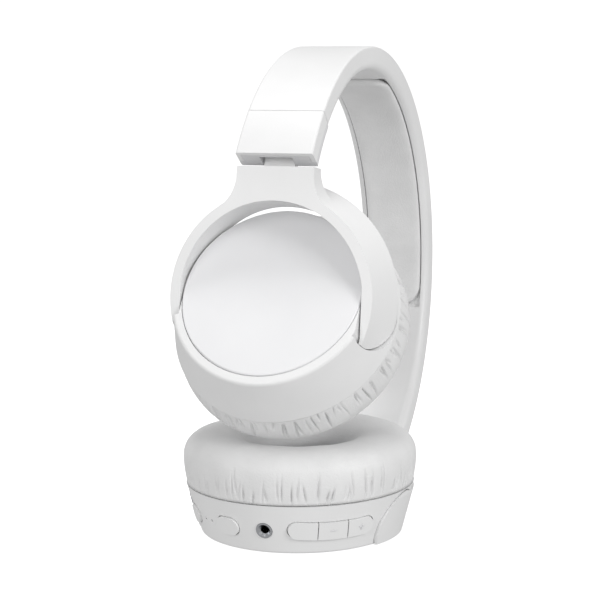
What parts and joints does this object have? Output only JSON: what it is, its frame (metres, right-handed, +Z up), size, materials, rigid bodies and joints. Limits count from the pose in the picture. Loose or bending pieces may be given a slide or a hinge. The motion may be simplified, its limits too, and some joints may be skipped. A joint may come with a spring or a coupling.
{
  "type": "folding headphones",
  "caption": "Folding on-ear headphones lying on one cup, with a padded headband, sliding end blocks, folding yokes, tilting round cups and rim buttons.",
  "frame": {"origin": "bottom centre of the whole part as it lies, on the surface that the right cup and right end block rest on", "axes": "+Z up; +Y across the headband; +X along the surface towards the left cup, with the crown of the headband towards -X"},
  "size_m": [0.153, 0.072, 0.1467],
  "materials": {
    "shell_plastic": "satin moulded, fine grain",
    "cover_plastic": "satin",
    "inner_plastic": "matt",
    "pad_leather": "soft, finely creased",
    "grille_fabric": "fine knit",
    "spring_steel": "brushed",
    "jack_metal": "plated",
    "dark_plastic": "matt",
    "board_resin": "solder mask",
    "membrane": "thin film"
  },
  "bodies": {
    "headband": {"headband_outer_shell": "shell_plastic", "headband_inner_frame": "shell_plastic", "headband_cushion": "pad_leather", "headband_spring": "spring_steel"},
    "slider_left": {"slider_strip_left": "spring_steel", "end_block_cover_left": "shell_plastic", "end_block_base_left": "inner_plastic", "hinge_pin_left": "spring_steel", "end_block_screws_left": "spring_steel"},
    "yoke_left": {"yoke_left": "shell_plastic"},
    "cup_left": {"cup_housing_left": "shell_plastic", "cup_cover_left": "cover_plastic", "pivot_pins_left": "spring_steel", "baffle_left": "inner_plastic", "baffle_screws_left": "spring_steel", "cushion_ring_left": "inner_plastic", "driver_basket_left": "dark_plastic", "driver_magnet_left": "spring_steel", "driver_diaphragm_left": "membrane", "grille_cloth_left": "grille_fabric", "ear_cushion_left": "pad_leather", "battery": "dark_plastic"},
    "slider_right": {"slider_strip_right": "spring_steel", "end_block_cover_right": "shell_plastic", "end_block_base_right": "inner_plastic", "hinge_pin_right": "spring_steel", "end_block_screws_right": "spring_steel"},
    "yoke_right": {"yoke_right": "shell_plastic"},
    "cup_right": {"cup_housing_right": "shell_plastic", "cup_cover_right": "cover_plastic", "pivot_pins_right": "spring_steel", "baffle_right": "inner_plastic", "baffle_screws_right": "spring_steel", "cushion_ring_right": "inner_plastic", "driver_basket_right": "dark_plastic", "driver_magnet_right": "spring_steel", "driver_diaphragm_right": "membrane", "grille_cloth_right": "grille_fabric", "ear_cushion_right": "pad_leather", "circuit_board": "board_resin", "circuit_chips": "dark_plastic", "audio_jack_socket": "jack_metal", "charging_port": "jack_metal", "button_switches": "spring_steel", "microphones": "dark_plastic"},
    "play_button": {"play_button": "shell_plastic"},
    "volume_down_button": {"volume_down_button": "shell_plastic"},
    "volume_up_button": {"volume_up_button": "shell_plastic"},
    "power_button": {"power_button": "shell_plastic"},
    "noise_cancel_button": {"noise_cancel_button": "shell_plastic"}
  },
  "joints": [
    {"name": "slider_left", "type": "hinge", "parent": "headband", "child": "slider_left", "pos_m": [-0.00327, 0, 0.0735], "axis": [0, 1, 0], "range_deg": [0, 0.5]},
    {"name": "fold_left", "type": "hinge", "parent": "slider_left", "child": "yoke_left", "pos_m": [0.04702, 0, 0.11859], "axis": [0, 1, 0], "range_deg": [-26.7, 60]},
    {"name": "tilt_left", "type": "hinge", "parent": "yoke_left", "child": "cup_left", "pos_m": [0.05687, 0, 0.07149], "axis": [0, -1, 0], "range_deg": [-27.4, 2]},
    {"name": "slider_right", "type": "hinge", "parent": "headband", "child": "slider_right", "pos_m": [-0.00327, 0, 0.0735], "axis": [0, -1, 0], "range_deg": [0, 0.5]},
    {"name": "fold_right", "type": "hinge", "parent": "slider_right", "child": "yoke_right", "pos_m": [-0.00925, 0, 0.00622], "axis": [0, -1, 0], "range_deg": [0, 0.5]},
    {"name": "tilt_right", "type": "hinge", "parent": "yoke_right", "child": "cup_right", "pos_m": [0.03885, 0, 0.00478], "axis": [0, 1, 0], "range_deg": [0, 27]},
    {"name": "play_press", "type": "slide", "parent": "cup_right", "child": "play_button", "axis": [-0.7837, -0.5694, 0.2484], "range_m": [0, 0.0004], "stiffness_N_per_m": 1500, "springref_m": -0.0002},
    {"name": "volume_down_press", "type": "slide", "parent": "cup_right", "child": "volume_down_button", "axis": [-0.7837, -0.5694, 0.2484], "range_m": [0, 0.0004], "stiffness_N_per_m": 1500, "springref_m": -0.0002},
    {"name": "volume_up_press", "type": "slide", "parent": "cup_right", "child": "volume_up_button", "axis": [-0.7837, -0.5694, 0.2484], "range_m": [0, 0.0004], "stiffness_N_per_m": 1500, "springref_m": -0.0002},
    {"name": "power_press", "type": "slide", "parent": "cup_right", "child": "power_button", "axis": [-0.8981, 0.3629, 0.2484], "range_m": [0, 0.0004], "stiffness_N_per_m": 1500, "springref_m": -0.0002},
    {"name": "noise_cancel_press", "type": "slide", "parent": "cup_right", "child": "noise_cancel_button", "axis": [-0.5762, 0.7787, 0.2484], "range_m": [0, 0.0004], "stiffness_N_per_m": 1500, "springref_m": -0.0002}
  ]
}
